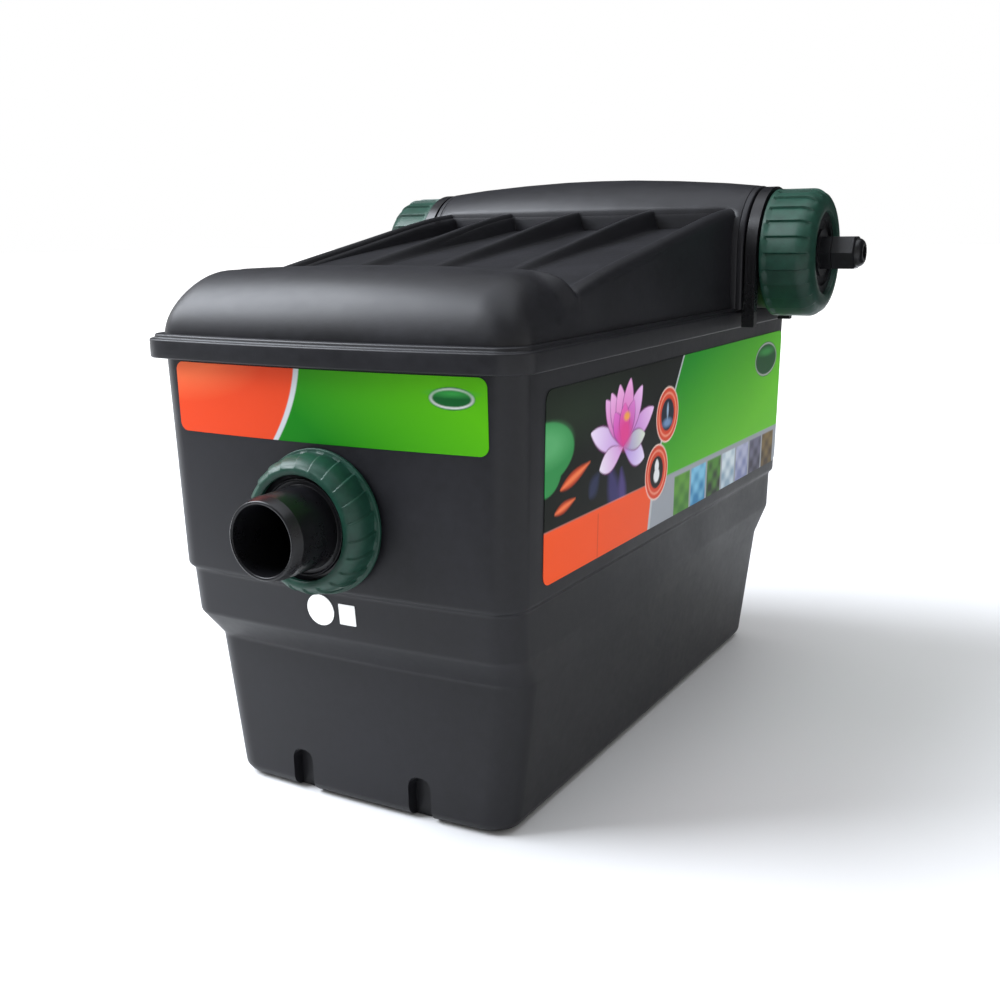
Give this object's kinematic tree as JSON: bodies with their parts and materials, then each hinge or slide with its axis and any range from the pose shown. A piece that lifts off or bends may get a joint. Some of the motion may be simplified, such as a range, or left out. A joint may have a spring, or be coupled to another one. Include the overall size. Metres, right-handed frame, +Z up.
{
  "type": "flow-through pond filter with ultraviolet clarifier",
  "caption": "Black box pond filter with hosetail outlet and lift-off ribbed lid carrying an ultraviolet clarifier tube across its back, closed by green screw rings.",
  "frame": {"origin": "centre of the tub's flat base, on the surface it stands on", "axes": "-Y towards the outlet hosetail, +X towards the lamp's cable gland, +Z up"},
  "size_m": [0.3615, 0.489, 0.3505],
  "materials": {
    "black_shell": "moulded black polypropylene, satin",
    "black_fitting": "moulded black plastic, semi gloss",
    "green_fitting": "moulded dark green plastic, satin",
    "rubber_seal": "black rubber",
    "foam": "open-cell filter foam",
    "stainless": "stainless steel",
    "quartz": "clear quartz",
    "lamp_glass": "clear lamp glass seen as white",
    "lamp_base": "white lamp base",
    "printed_label": null,
    "white_sticker": "plain white sticker"
  },
  "bodies": {
    "tub": {"tub": "black_shell", "outlet_seal": "rubber_seal", "outlet_bulkhead": "black_fitting", "outlet_washer": "rubber_seal", "outlet_hosetail": "black_fitting", "outlet_strainer": "black_fitting", "media_grid": "black_shell", "foam_fine": "foam", "foam_medium": "foam", "foam_coarse": "foam", "baffle": "black_shell", "front_label": "printed_label", "side_label": "printed_label", "round_sticker": "white_sticker", "square_sticker": "white_sticker"},
    "outlet_nut": {"outlet_nut": "green_fitting"},
    "lid": {"lid": "black_shell", "lid_gasket": "rubber_seal", "uv_tube": "black_fitting", "cradle_left": "black_fitting", "cradle_right": "black_fitting", "cradle_screws": "stainless", "inlet_tail": "black_fitting", "inlet_washer": "rubber_seal", "sleeve_spider": "black_fitting"},
    "fork_right": {"fork_right": "black_fitting"},
    "fork_left": {"fork_left": "black_fitting"},
    "inlet_ring": {"inlet_ring": "green_fitting"},
    "lamp_unit": {"lamp_head": "black_fitting", "head_seal": "rubber_seal", "quartz_sleeve": "quartz", "sleeve_seal": "rubber_seal", "lamp_holder": "black_fitting", "lamp_base": "lamp_base", "uv_lamp": "lamp_glass", "gland_body": "black_fitting", "gland_seal": "rubber_seal"},
    "lamp_ring": {"lamp_ring": "green_fitting"},
    "gland_nut": {"gland_nut": "black_fitting"}
  },
  "joints": [
    {"name": "outlet_nut_turn", "type": "hinge", "parent": "tub", "child": "outlet_nut", "pos_m": [0, -0.2205, 0.1705], "axis": [0, -1, 0], "range_deg": [0, 300]},
    {"name": "lid_lift", "type": "slide", "parent": "tub", "child": "lid", "axis": [0, 0, 1], "range_m": [0, 0.15]},
    {"name": "fork_right_pull", "type": "slide", "parent": "lid", "child": "fork_right", "axis": [0, 0, 1], "range_m": [0, 0.1]},
    {"name": "fork_left_pull", "type": "slide", "parent": "lid", "child": "fork_left", "axis": [0, 0, 1], "range_m": [0, 0.1]},
    {"name": "inlet_ring_turn", "type": "hinge", "parent": "lid", "child": "inlet_ring", "pos_m": [-0.132, 0.1236, 0.299], "axis": [-1, 0, 0], "range_deg": [0, 300]},
    {"name": "lamp_unit_pull", "type": "slide", "parent": "lid", "child": "lamp_unit", "axis": [1, 0, 0], "range_m": [0, 0.26]},
    {"name": "lamp_ring_turn", "type": "hinge", "parent": "lamp_unit", "child": "lamp_ring", "pos_m": [0.132, 0.1236, 0.299], "axis": [1, 0, 0], "range_deg": [0, 300]},
    {"name": "gland_nut_turn", "type": "hinge", "parent": "lamp_unit", "child": "gland_nut", "pos_m": [0.171, 0.1236, 0.299], "axis": [1, 0, 0], "range_deg": [0, 300]}
  ]
}
